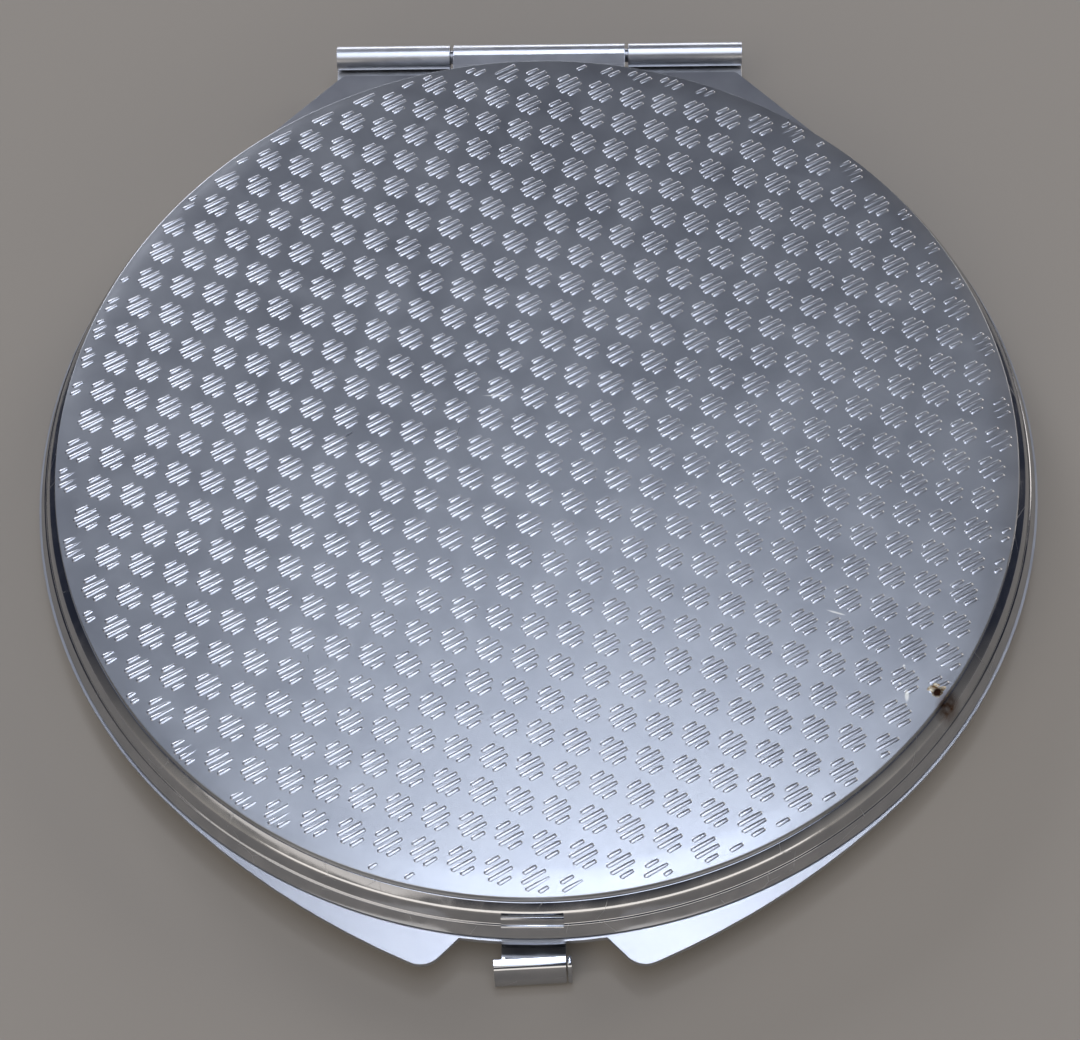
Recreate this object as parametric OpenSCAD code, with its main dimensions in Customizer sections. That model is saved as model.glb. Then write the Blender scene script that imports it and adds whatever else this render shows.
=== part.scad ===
// Round compact mirror: two pressed steel halves on a rolled hinge,
// a plain mirror in the lid, a magnifying mirror in the base and a sprung push-button latch.
// The base rests on z = 0, the hinge is at the rear (+Y) and the button at the front (-Y).

/* [Body] */
// Outside diameter of the rim plate, the widest round line of the compact
rim_d = 70; // [64:0.5:84]
// Thickness of the closed compact
closed_h = 7; // [6.8:0.1:8.5]
// Height of the base with its rim plate
base_h = 3.45; // [3.35:0.05:4]
// Gap between the closed halves at the mouth
mouth_gap = 0.15; // [0.1:0.05:0.25]
// Sheet thickness of the satin rim plate that carries wings and shoulders
rim_t = 0.5; // [0.4:0.05:0.6]

/* [Covers] */
// Sheet thickness of the satin covers
cover_t = 0.35; // [0.25:0.05:0.4]
// How far a cover's edge stands inside the rim plate's edge
cover_inset = 1.7; // [1.4:0.1:2.2]
// Depth of the cover's turned-down skirt
cover_skirt = 0.75; // [0.55:0.05:0.85]
// Radius of the cover's rounded edge
cover_edge = 0.3; // [0.1:0.05:0.5]
// Width of the soft fall inside the cover's edge
fall_w = 1.3; // [0.8:0.1:2]
// Slope that the soft fall ends with
fall_turn = 8; // [4:1:9]
// Shadow gap below the skirt
cover_seam = 0.1; // [0.05:0.05:0.2]

/* [Pressed frames] */
// Sheet thickness of the polished frames
frame_t = 0.4; // [0.3:0.05:0.45]
// Width of the rounded shoulder outside the cover
bead_w = 0.65; // [0.55:0.05:0.9]
// Radius of the shoulder's rounded edge
bead_round = 0.3; // [0.15:0.05:0.4]
// Outward slope of the wall between shoulder and ridge
wall_flare = 0.36; // [0.2:0.02:0.5]
// Radius of the fine ridge above the lip
ridge_round = 0.12; // [0.08:0.02:0.16]
// Height of the lip between ridge and mouth
lip_h = 1.05; // [0.9:0.05:1.2]
// How far the lid's lip stands inside the rim plate's edge
lid_lip_inset = 0.15; // [0.1:0.05:0.3]
// How far the base's hidden lip stands inside the rim plate's edge
base_lip_inset = 0.5; // [0.45:0.05:0.6]
// Width of the ledge that a frame holds under the mirror's edge
ledge_w = 2.1; // [1.5:0.1:4]

/* [Mirrors] */
// How far the edge of both mirrors stands inside the rim plate's edge
mirror_border = 6.1; // [6:0.1:9]
// Glass thickness of the plain mirror
plain_t = 1.9; // [1.5:0.1:2]
// Glass thickness of the magnifying mirror
magnifier_t = 1.3; // [1:0.1:1.4]
// Depth of the magnifying mirror's hollow
magnifier_sag = 0.6; // [0.4:0.05:0.65]
// Bevel on the plain mirror's edge
mirror_bevel = 0.3; // [0.1:0.05:0.5]
// Clearance between a mirror's edge and its bezel
mirror_fit = 0.2; // [0.1:0.05:0.4]
// Sheet thickness of the polished bezels
bezel_t = 0.4; // [0.3:0.05:0.45]
// Height of a bezel above its ledge
bezel_h = 2.35; // [2.3:0.05:2.5]
// How far a bezel's lip reaches over the mirror
bezel_reach = 1; // [0.5:0.1:2]
// Radius of the bezel's rounded edge
bezel_round = 0.25; // [0.1:0.05:0.3]
// Sheet thickness of the plate round the lid's mirror
lid_rim_t = 0.4; // [0.3:0.05:0.45]

/* [Wings and shoulders] */
// Angle from the front at which a wing leaves the round rim
wing_angle = 44.5; // [38:0.5:50]
// Radius of a wing's long outer edge
wing_r = 56.3; // [50:0.1:64]
// Radius of a wing's rounded tip
wing_tip = 1.6; // [0.8:0.1:2]
// Half the width of the notch between the wings, at the rim
notch_half = 4.75; // [4:0.05:6]
// Slant of a wing's end, measured from straight ahead
notch_slant = 45; // [30:1:60]
// Angle from the rear at which a shoulder leaves the round rim
shoulder_angle = 46; // [42:0.5:50]
// How far the straight rear edge is cut back from the round rim
shoulder_cut = 0.25; // [0.15:0.05:0.5]
// Radius of a shoulder's corner
shoulder_round = 0.6; // [0.2:0.1:1.2]
// Turn after which a wing's or shoulder's edge has left the round rim
edge_lead = 2; // [1.5:0.25:3]

/* [Hinge] */
// Diameter of the hinge pin
pin_d = 1.05; // [1:0.05:1.2]
// Radial clearance between pin and knuckles
pin_fit = 0.05; // [0.02:0.01:0.08]
// Sheet thickness of the hinge leaves
leaf_t = 0.35; // [0.3:0.05:0.45]
// Length of the whole hinge
hinge_l = 31.2; // [24:0.2:34]
// Length of the lid's middle knuckle
centre_l = 12.9; // [8:0.1:16]
// Gap between neighbouring knuckles
knuckle_gap = 0.4; // [0.2:0.05:0.6]
// Distance of the hinge axis behind the round rim
hinge_setback = 1.4; // [1.3:0.05:2.2]
// How far the leaves reach in under the rim
leaf_reach = 4; // [3:0.1:4.6]
// Slit that a knuckle's curl leaves open
curl_gap = 0.2; // [0.1:0.05:0.3]

/* [Latch] */
// Width of the push button
button_w = 5; // [4.6:0.1:7]
// Height of the push button
button_h = 2.3; // [2:0.05:2.4]
// Depth of the push button, front to back
button_depth = 1.2; // [1:0.05:2]
// Front face of the button ahead of the round rim
button_reach = 2; // [1.9:0.05:2.6]
// Height of the button above the table
button_z = 0.45; // [0.3:0.05:0.5]
// Sheet thickness of the button
button_t = 0.4; // [0.3:0.05:0.45]
// Radius of the button's rolled top edge
button_roll = 0.5; // [0.3:0.05:0.6]
// How far the button's face leans back at the top
button_lean = 0.08; // [0.02:0.02:0.16]
// Thickness of the button's closed right end
button_end_t = 0.25; // [0.15:0.05:0.3]
// Travel of the button
press_travel = 1; // [0.7:0.05:1.05]
// Width of the slide behind the button
slide_w = 4.2; // [3.8:0.1:4.4]
// Sheet thickness of the slide
slide_t = 0.5; // [0.4:0.05:0.55]
// How far the ears of the slide stand out on each side
ear_w = 0.8; // [0.6:0.05:1.2]
// Length of the ears
ear_l = 0.6; // [0.4:0.05:0.65]
// Width of the hook and of the catch's leg
hook_w = 3; // [2:0.1:3.2]
// Thickness of the hook's post
hook_t = 0.45; // [0.35:0.05:0.5]
// Length of the hook's nose
hook_nose = 0.65; // [0.55:0.05:0.75]
// How far the hook holds the catch
hook_hold = 0.45; // [0.35:0.05:0.5]
// Height of the hook's nose
nose_h = 0.45; // [0.35:0.05:0.5]
// Play between hook and catch when closed
hook_play = 0.15; // [0.1:0.05:0.2]
// Sheet thickness of the guide's floor
guide_t = 0.5; // [0.4:0.05:0.55]
// Thickness of the guide's side cheeks
cheek_t = 0.4; // [0.3:0.05:0.5]
// Half the width of the guide's floor
guide_half = 7.4; // [7:0.1:10]
// Thickness of the leaf spring
spring_t = 0.15; // [0.1:0.01:0.2]
// Height of the leaf spring
spring_h = 0.9; // [0.6:0.05:1]
// Half the distance between the spring's two seats
spring_half = 6.6; // [5:0.1:7]
// Clearance between the pressed slide and the bezel
latch_gap = 0.25; // [0.15:0.05:0.3]

/* [Catch] */
// Width of the catch plate on the lid's front wall
catch_w = 4; // [3.8:0.1:6]
// Thickness of the catch plate
catch_t = 0.3; // [0.2:0.05:0.4]
// Radius of the roll along the catch plate's lower edge
catch_roll = 0.16; // [0.12:0.02:0.2]
// Thickness of the catch's leg
leg_t = 0.45; // [0.35:0.05:0.5]
// Room between the hook's tip and the catch's leg
leg_gap = 0.5; // [0.3:0.05:0.6]

/* [Hidden] */

$fn = 96;
// Cuts run past the faces that they open by this much
overrun = 0.5;
// Close gap between pieces that are pressed or glued together
fit = 0.05;
// Running gap between moving pieces
play = 0.1;
// How far the wings' roots reach into the round rim
root_reach = 2;
// Half the turn of the ridge's round face
ridge_turn = 75;

// Round lines, as radii from the middle
rim_r = rim_d / 2;
cover_r = rim_r - cover_inset;
neck_r = cover_r - cover_t - fit;
bead_r = cover_r + bead_w;
wall_r = bead_r + wall_flare;
mirror_d = rim_d - 2 * mirror_border;
mirror_r = mirror_d / 2;
web_r = mirror_r - ledge_w;
bezel_in = mirror_r + mirror_fit;
bezel_r = bezel_in + bezel_t;
plate_in = bezel_r + mirror_fit;

// Heights above each half's outer face
web_z = cover_t + frame_t;
shoulder_z = cover_skirt + cover_seam;
base_wall_h = base_h - rim_t;
lid_h = closed_h - base_h - mouth_gap;

// Hinge
knuckle_r = pin_d / 2 + pin_fit + leaf_t;
hinge_y = rim_r + hinge_setback;
hinge_z = base_wall_h - leaf_t + knuckle_r;
lid_leaf_z = hinge_z + knuckle_r - leaf_t;
lid_plate_z = lid_leaf_z - lid_rim_t;
leaf_y = rim_r - leaf_reach;
outer_x = centre_l / 2 + knuckle_gap;
rear_y = rim_r - shoulder_cut;

// Soft fall of the covers: one wide curve from the flat face to the rounded edge
fall_r = fall_w / sin(fall_turn);
fall_start = cover_r - cover_edge * (1 - sin(fall_turn)) - fall_w;
edge_z = fall_r * (1 - cos(fall_turn)) + cover_edge * cos(fall_turn);

// Latch, as distances from the middle towards the front
slide_z = web_z + guide_t + play;
slide_top = slide_z + slide_t;
slide_rear = bezel_r + latch_gap + press_travel;
cheek_rear = slide_rear + ear_l + fit;
guide_out = neck_r - frame_t - play;
post_rear = cheek_rear + fit;
post_front = post_rear + hook_t;
hook_tip = post_front + hook_nose;
nose_top = base_h - rim_t / 2;
nose_z = nose_top - nose_h;
catch_top = nose_z - hook_play;
catch_tip = hook_tip - hook_hold;
leg_in = hook_tip + leg_gap;
leg_out = leg_in + leg_t;
leg_z = slide_top + 2 * play;
button_out = rim_r + button_reach;
slide_half = slide_w / 2;
ear_half = slide_half + ear_w;
cheek_in = slide_half + play;
cheek_out = cheek_in + cheek_t;
hook_half = hook_w / 2;
seat_y = bezel_r + latch_gap;

// Catch plate, along the lid's sloping wall
wall_start_z = shoulder_z + bead_round;
ridge_z = lid_h - lip_h;
wall_len = norm([wall_flare, ridge_z - wall_start_z]);
wall_along = [wall_flare, ridge_z - wall_start_z] / wall_len;
wall_out = [wall_along[1], -wall_along[0]];

satin = [0.74, 0.74, 0.77];
polished = [0.84, 0.85, 0.87];
glass = [0.88, 0.93, 0.95];
steel = [0.62, 0.63, 0.65];
foam = [0.90, 0.90, 0.86];

function arc(centre, r, from, to, steps = 6) =
    [for (i = [0:steps]) centre + r * [cos(from + (to - from) * i / steps), sin(from + (to - from) * i / steps)]];

// Height of a hollow of radius r that is deep at the middle and level with zero there
hollow_r = (mirror_r * mirror_r + magnifier_sag * magnifier_sag) / (2 * magnifier_sag);
function hollow(r) = hollow_r - sqrt(hollow_r * hollow_r - r * r);
function hollow_line(r_end, z, steps = 12) =
    [for (i = [0:steps]) let (r = r_end * i / steps) [r, z + hollow(r)]];
function backwards(points) = [for (i = [len(points) - 1:-1:0]) points[i]];

module turned(points) {
    rotate_extrude()
        polygon(points);
}

// Builds a lid piece from the lid's outer face, as the base is built from the table
module in_lid() {
    translate([0, 0, closed_h])
        mirror([0, 0, 1])
            children();
}

// Turns a piece drawn with its depth along +Y to the front of the compact
module at_front() {
    mirror([0, 1, 0])
        children();
}

// Extrudes an outline drawn as (depth, height) over a width centred on the middle plane
module across(width) {
    rotate([90, 0, 90])
        translate([0, 0, -width / 2])
            linear_extrude(width)
                children();
}

// Shallow cap that falls softly to a rounded edge and a short skirt
module cover() {
    turned(concat(
        [[0, 0]],
        arc([fall_start, fall_r], fall_r, -90, fall_turn * 3 / 4 - 90, 3),
        arc([cover_r - cover_edge, edge_z], cover_edge, fall_turn - 90, 0),
        [[cover_r, cover_skirt], [cover_r - cover_t, cover_skirt], [cover_r - cover_t, cover_t], [0, cover_t]]
    ));
}

// Pressed ring: ledge, neck under the cover, rounded shoulder, sloping wall, fine ridge and lip
module frame_ring(h, lip_r) {
    ridge = h - lip_h;
    turned(concat(
        [[web_r, cover_t], [neck_r, cover_t], [neck_r, shoulder_z]],
        arc([bead_r - bead_round, shoulder_z + bead_round], bead_round, -90, 0),
        arc([wall_r, ridge], ridge_round, -ridge_turn, ridge_turn),
        [[lip_r, h], [lip_r - frame_t, h], [wall_r - frame_t, ridge]],
        [[bead_r - frame_t, shoulder_z + frame_t], [neck_r - frame_t, shoulder_z + frame_t]],
        [[neck_r - frame_t, web_z], [web_r, web_z]]
    ));
}

// Ring of L section that holds a mirror down on its ledge
module bezel() {
    top = web_z + bezel_h;
    turned(concat(
        [[bezel_in, web_z], [bezel_r, web_z]],
        arc([bezel_r - bezel_round, top - bezel_round], bezel_round, 0, 90),
        [[mirror_r - bezel_reach, top], [mirror_r - bezel_reach, top - bezel_t], [bezel_in, top - bezel_t]]
    ));
}

// One wing of the rim plate, on the right (side = 1) or the left (side = -1)
module wing(side) {
    start = rim_r * [sin(wing_angle), cos(wing_angle)];
    middle = start * (1 - wing_r / rim_r);
    end = [notch_half, sqrt(rim_r * rim_r - notch_half * notch_half)];
    along = [sin(notch_slant), cos(notch_slant)];
    inward = [cos(notch_slant), -sin(notch_slant)];
    reach = end + wing_tip * inward - middle;
    slide_along = sqrt(pow(reach * along, 2) - reach * reach + pow(wing_r - wing_tip, 2)) - reach * along;
    tip = end + wing_tip * inward + slide_along * along;
    out = tip - middle;
    root = (rim_r - root_reach) / rim_r;
    edge = concat(
        [start * root],
        arc(middle, wing_r, 90 - wing_angle + edge_lead, atan2(out[1], out[0]), 16),
        arc(tip, wing_tip, atan2(out[1], out[0]), 180 - notch_slant, 8),
        [end - wing_tip * along]
    );
    polygon([for (p = edge) [side * p[0], -p[1]]]);
}

// The two rear shoulders, whose sides run straight on from the round rim
module shoulders() {
    side = 90 - shoulder_angle;
    centre_y = rear_y - shoulder_round;
    centre_x = (rim_r - shoulder_round - centre_y * sin(side)) / cos(side);
    lead = side + edge_lead;
    right = concat([rim_r / cos(edge_lead) * [cos(lead), sin(lead)]],
                   arc([centre_x, centre_y], shoulder_round, side, 90));
    left = [for (p = backwards(right)) [-p[0], p[1]]];
    polygon(concat([[0, 0]], right, left));
}

// A knuckle's end view with its leaf: the sheet runs in below and curls round the pin
module knuckle_outline(leaf_len) {
    difference() {
        union() {
            circle(knuckle_r);
            translate([-leaf_len, -knuckle_r])
                square([leaf_len, leaf_t]);
        }
        circle(knuckle_r - leaf_t);
        translate([-knuckle_r - overrun, leaf_t - knuckle_r])
            square([knuckle_r + overrun, curl_gap]);
    }
}

module base_cover() {
    color(satin)
        cover();
}

module base_frame() {
    color(polished)
        difference() {
            frame_ring(base_wall_h, rim_r - base_lip_inset);
            translate([-hinge_l / 2 - fit, leaf_y - fit, base_wall_h - leaf_t - fit])
                cube([hinge_l + 2 * fit, leaf_reach + hinge_setback, leaf_t + fit + overrun]);
            at_front()
                translate([-slide_half - 2 * play, guide_out, slide_z - play])
                    cube([slide_w + 4 * play, rim_r - guide_out, slide_t + 2 * play]);
        }
}

module base_pad() {
    color(foam)
        turned(concat(
            [[0, cover_t]],
            [[web_r - play, cover_t]],
            backwards(hollow_line(web_r - play, web_z - fit / 2))
        ));
}

module base_mirror() {
    color(glass)
        turned(concat(
            hollow_line(mirror_r, web_z),
            backwards(hollow_line(mirror_r, web_z + magnifier_t))
        ));
}

module base_bezel() {
    color(polished)
        bezel();
}

// Cuts the rim plate's sheet to an outline
module rim_sheet() {
    translate([0, 0, base_wall_h])
        linear_extrude(rim_t)
            children();
}

module base_rim_plate() {
    window_rear = post_rear - press_travel - 2 * play;
    color(satin)
        difference() {
            union() {
                rim_sheet()
                    difference() {
                        union() {
                            circle(rim_r);
                            shoulders();
                        }
                        circle(plate_in);
                    }
                rim_sheet()
                    wing(1);
                rim_sheet()
                    wing(-1);
            }
            translate([-rim_r, rear_y, 0])
                cube([rim_d, rim_r, closed_h]);
            at_front()
                translate([-hook_half - 4 * play, window_rear, 0])
                    cube([hook_w + 8 * play, leg_out + 3 * play - window_rear, closed_h]);
        }
}

module base_hinge_leaf() {
    color(polished)
        difference() {
            translate([0, hinge_y, hinge_z])
                across(hinge_l)
                    knuckle_outline(hinge_y - leaf_y);
            translate([-outer_x, hinge_y - knuckle_r - play, 0])
                cube([2 * outer_x, 2 * knuckle_r + overrun, closed_h]);
        }
}

module hinge_pin() {
    color(steel)
        translate([-hinge_l / 2, hinge_y, hinge_z])
            rotate([0, 90, 0])
                cylinder(h = hinge_l, d = pin_d);
}

// Floor, cheeks with folded keepers and two seats for the spring
module latch_guide() {
    color(steel)
        at_front() {
            translate([0, 0, web_z])
                linear_extrude(guide_t)
                    intersection() {
                        difference() {
                            circle(guide_out);
                            circle(seat_y);
                        }
                        translate([-guide_half, 0])
                            square([2 * guide_half, guide_out]);
                    }
            for (side = [0, 1])
                mirror([side, 0, 0]) {
                    translate([cheek_in, cheek_rear, web_z])
                        cube([cheek_t, guide_out - cheek_rear - 2 * play, slide_top + play + cheek_t - web_z]);
                    translate([hook_half + 2 * play, cheek_rear, slide_top + play])
                        cube([cheek_out - hook_half - 2 * play, guide_out - cheek_rear - 2 * play, cheek_t]);
                    translate([spring_half - cheek_t, seat_y - cheek_t, web_z + guide_t])
                        cube([2 * cheek_t, cheek_t, spring_h + play]);
                }
        }
}

// Bowed leaf whose middle pushes the slide out and whose ends bear on the guide's seats
module latch_spring() {
    bow = slide_rear - seat_y - spring_t - 2 * fit;
    bow_r = (spring_half * spring_half + bow * bow) / (2 * bow);
    color(steel)
        at_front()
            translate([0, slide_rear - fit - bow_r - spring_t, slide_z])
                linear_extrude(spring_h)
                    intersection() {
                        difference() {
                            circle(bow_r + spring_t, $fn = 180);
                            circle(bow_r, $fn = 180);
                        }
                        translate([-spring_half, 0])
                            square([2 * spring_half, bow_r + overrun]);
                    }
}

// Flat slide with ears that stop it and a hook bent up behind the catch
module latch_slide() {
    color(polished)
        at_front() {
            translate([-slide_half, slide_rear, slide_z])
                cube([slide_w, button_out - button_t - slide_rear, slide_t]);
            translate([-ear_half, slide_rear, slide_z])
                cube([2 * ear_half, ear_l, slide_t]);
            across(hook_w)
                polygon([
                    [post_rear, slide_z], [post_front, slide_z], [post_front, nose_z], [hook_tip, nose_z],
                    [hook_tip, nose_z + nose_h / 4], [post_front + hook_nose / 3, nose_top], [post_rear, nose_top]
                ]);
        }
}

// Button seen from its end: a rolled top, a leaning face and a rounded foot
module button_outline() {
    foot = button_roll / 2;
    roll_z = button_z + button_h - button_roll;
    polygon(concat(
        [[button_out - button_depth, button_z]],
        arc([button_out - foot, button_z + foot], foot, -90, 0),
        arc([button_out - button_lean - button_roll, roll_z], button_roll, 0, 90),
        [[button_out - button_depth, button_z + button_h]]
    ));
}

// Folded button, closed at its right end and open towards the slide
module latch_button() {
    color(polished)
        at_front() {
            across(button_w)
                difference() {
                    button_outline();
                    translate([button_out - button_depth - overrun, button_z + button_t])
                        square([button_depth - button_t + overrun, button_h - 2 * button_t]);
                }
            translate([(button_w - button_end_t) / 2, 0, 0])
                across(button_end_t)
                    button_outline();
        }
}

module lid_cover() {
    color(satin)
        in_lid()
            cover();
}

module lid_frame() {
    color(polished)
        in_lid()
            difference() {
                frame_ring(lid_h, rim_r - lid_lip_inset);
                translate([-centre_l / 2 - play, leaf_y, closed_h - lid_leaf_z - leaf_t - play])
                    cube([centre_l + 2 * play, leaf_reach + overrun, lid_h]);
                at_front()
                    translate([-hook_half - play, leg_in - play, wall_start_z + ridge_round])
                        cube([hook_w + 2 * play, rim_r - leg_in, ridge_z - wall_start_z - 2 * ridge_round]);
            }
}

module lid_pad() {
    color(foam)
        in_lid()
            translate([0, 0, cover_t])
                cylinder(h = frame_t, r = web_r - play);
}

module lid_mirror() {
    color(glass)
        in_lid()
            turned([
                [0, web_z], [mirror_r, web_z], [mirror_r, web_z + plain_t - mirror_bevel],
                [mirror_r - mirror_bevel, web_z + plain_t], [0, web_z + plain_t]
            ]);
}

module lid_bezel() {
    color(polished)
        in_lid()
            bezel();
}

module lid_rim_plate() {
    // The lip slopes, so the plate fits inside it at the plate's hidden face
    lip_in = rim_r - lid_lip_inset - frame_t;
    depth = closed_h - lid_plate_z - lid_rim_t - ridge_z;
    plate_r = wall_r - frame_t + (lip_in - wall_r + frame_t) * depth / lip_h - fit;
    color(satin)
        translate([0, 0, lid_plate_z])
            linear_extrude(lid_rim_t)
                difference() {
                    circle(plate_r);
                    circle(plate_in);
                    at_front()
                        translate([-hook_half - 2 * play, leg_in - 2 * play])
                            square([hook_w + 4 * play, rim_r - leg_in]);
                }
}

module lid_hinge_leaf() {
    color(polished)
        translate([0, hinge_y, hinge_z])
            mirror([0, 0, 1])
                across(centre_l)
                    knuckle_outline(hinge_y - leaf_y);
}

// Plate on the lid's front wall, with a leg inside that reaches down to the hook
module catch_plate() {
    top = [bead_r, wall_start_z] + ridge_round * wall_along;
    bottom = [bead_r, wall_start_z] + (wall_len - ridge_round - fit) * wall_along;
    edge = catch_t / 3;
    color(polished)
        in_lid()
            at_front() {
                across(catch_w) {
                    polygon([
                        top, top + (catch_t - edge) * wall_out, top + edge * wall_along + catch_t * wall_out,
                        bottom - edge * wall_along + catch_t * wall_out, bottom + (catch_t - edge) * wall_out, bottom
                    ]);
                    translate(bottom - catch_roll * wall_along + catch_t * wall_out)
                        circle(catch_roll);
                }
                across(hook_w)
                    polygon([
                        [leg_in, top[1] + ridge_round], [top[0] + fit, top[1] + ridge_round],
                        [bottom[0] - fit, bottom[1] - ridge_round], [leg_out, bottom[1] - ridge_round],
                        [leg_out, closed_h - leg_z], [leg_in - hook_nose / 2, closed_h - leg_z],
                        [catch_tip, closed_h - catch_top + nose_h / 2], [catch_tip, closed_h - catch_top],
                        [leg_in, closed_h - catch_top]
                    ]);
            }
}

base_cover();
base_frame();
base_pad();
base_mirror();
base_bezel();
base_rim_plate();
base_hinge_leaf();
hinge_pin();
latch_guide();
latch_spring();
latch_slide();
latch_button();
lid_cover();
lid_frame();
lid_pad();
lid_mirror();
lid_bezel();
lid_rim_plate();
lid_hinge_leaf();
catch_plate();
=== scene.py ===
import math

import bmesh
import bpy
from mathutils import Matrix, Vector, noise


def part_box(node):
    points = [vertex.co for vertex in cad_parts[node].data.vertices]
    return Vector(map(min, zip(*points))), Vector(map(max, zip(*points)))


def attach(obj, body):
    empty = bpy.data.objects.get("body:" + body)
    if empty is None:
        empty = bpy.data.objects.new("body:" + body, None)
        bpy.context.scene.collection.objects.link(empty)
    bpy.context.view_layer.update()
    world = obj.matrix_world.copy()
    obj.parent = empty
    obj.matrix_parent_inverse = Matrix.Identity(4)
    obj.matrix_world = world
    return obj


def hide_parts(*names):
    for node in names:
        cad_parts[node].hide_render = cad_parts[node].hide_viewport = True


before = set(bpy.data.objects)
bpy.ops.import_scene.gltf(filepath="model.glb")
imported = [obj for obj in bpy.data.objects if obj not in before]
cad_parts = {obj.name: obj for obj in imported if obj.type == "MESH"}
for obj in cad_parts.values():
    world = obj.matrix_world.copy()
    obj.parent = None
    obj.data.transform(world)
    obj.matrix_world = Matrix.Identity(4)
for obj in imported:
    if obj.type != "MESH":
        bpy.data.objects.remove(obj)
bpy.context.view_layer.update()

mm = 0.001  # the dictionaries below are in millimetres and degrees

# Main sizes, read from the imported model
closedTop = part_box("lid_cover")[1].z / mm
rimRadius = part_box("base_rim_plate")[1].x / mm
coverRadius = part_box("lid_cover")[1].x / mm
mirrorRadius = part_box("lid_mirror")[1].x / mm
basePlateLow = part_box("base_rim_plate")[0].z / mm
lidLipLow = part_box("lid_frame")[0].z / mm
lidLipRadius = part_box("lid_frame")[1].x / mm
print("frame loaded,", len(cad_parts), "pieces")


# Camera, placed as the photograph was taken

cameraSetup = {
    "place": (4.65, -88.9, 158.9),
    "target": (0.377, -6.245, 7.0),
    "roll": -3.02,
    "lens": 84.8,
    "sensor": 36,
    "nearest": 5,
}


def setCamera(setup):
    camera = bpy.data.objects.new("photoCamera", bpy.data.cameras.new("photoCamera"))
    bpy.context.scene.collection.objects.link(camera)
    place = Vector(setup["place"]) * mm
    look = (Vector(setup["target"]) * mm - place).to_track_quat("-Z", "Y")
    roll = Matrix.Rotation(math.radians(setup["roll"]), 4, "Z")
    camera.matrix_world = Matrix.Translation(place) @ look.to_matrix().to_4x4() @ roll
    camera.data.lens = setup["lens"]
    camera.data.sensor_width = setup["sensor"]
    camera.data.clip_start = setup["nearest"] * mm
    bpy.context.scene.camera = camera


setCamera(cameraSetup)


# Colours and shader nodes

# In the dictionaries a noise has its node's settings, its scale written as one over the size of its patches
noiseReach = {"From Min": 0.3, "From Max": 0.7}  # nearly all of a noise lies between these


def fromHex(text, alpha=1.0):
    parts = [int(text[i:i + 2], 16) / 255 for i in (1, 3, 5)]
    linear = [p / 12.92 if p <= 0.04045 else ((p + 0.055) / 1.055) ** 2.4 for p in parts]
    return (*linear, alpha)


# Stops of a colour ramp, each a position and a colour
def setStops(ramp, stops):
    stops = list(stops)
    elements = ramp.color_ramp.elements
    while len(elements) < len(stops):
        elements.new(0.5)
    for element, (position, colour) in zip(elements, stops):
        element.position = position
        element.color = fromHex(colour)


# Joins sources to a node's sockets: a source is a socket, or a node for its first output
def join(tree, node, links):
    for name, source in links.items():
        if isinstance(source, bpy.types.Node):
            source = source.outputs[0]
        tree.links.new(source, node.inputs[name])


# Adds a node: settings go to its sockets, its stops or its own options
def addNode(tree, kind, settings=None, links=None):
    node = tree.nodes.new(kind)
    for name, value in (settings or {}).items():
        if isinstance(name, int) or name in node.inputs:
            node.inputs[name].default_value = value
        elif name == "stops":
            setStops(node, value)
        else:
            setattr(node, name, value)
    join(tree, node, links or {})
    return node


def startMaterial(name):
    material = bpy.data.materials.new(name)
    material.use_nodes = True
    tree = material.node_tree
    tree.nodes.clear()
    shader = addNode(tree, "ShaderNodeBsdfPrincipled")
    addNode(tree, "ShaderNodeOutputMaterial", links={"Surface": shader})
    place = addNode(tree, "ShaderNodeTexCoord")
    # object coordinates in millimetres, so that a pattern's scale is one over its real size
    where = addNode(tree, "ShaderNodeMapping", {"Scale": (1 / mm, 1 / mm, 1 / mm)},
                    {"Vector": place.outputs["Object"]})
    return material, tree, shader, where


hairlineForm = {
    "squeeze": 0.35,  # draws the cells out along one way
    "core": 0.3,  # share of a line's width that is at full strength
    "gapSize": 0.6,  # size of the noise that breaks the lines up, as a share of their spacing
    "gapFade": 0.08,
}


# Short thin lines that cross the surface here and there: cell borders, broken up by a soft noise
def hairlines(tree, where, form, spacing, width, turn, share):
    turned = addNode(tree, "ShaderNodeMapping",
                     {"Rotation": (0, 0, math.radians(turn)), "Scale": (1, form["squeeze"], 1)},
                     {"Vector": where})
    cells = addNode(tree, "ShaderNodeTexVoronoi",
                    {"feature": "DISTANCE_TO_EDGE", "Scale": 1 / spacing, "Randomness": 1.0},
                    {"Vector": turned})
    thick = width / spacing
    line = addNode(tree, "ShaderNodeMapRange",
                   {"From Min": thick * form["core"], "From Max": thick, "To Min": 1, "To Max": 0},
                   {"Value": cells.outputs["Distance"]})
    patches = addNode(tree, "ShaderNodeTexNoise", {"Scale": 1 / (spacing * form["gapSize"])},
                      {"Vector": turned})
    kept = addNode(tree, "ShaderNodeMapRange",
                   {"From Min": 1 - share, "From Max": 1 + form["gapFade"] - share}, {"Value": patches})
    return addNode(tree, "ShaderNodeMath", {"operation": "MULTIPLY"}, {0: line, 1: kept})


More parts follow.
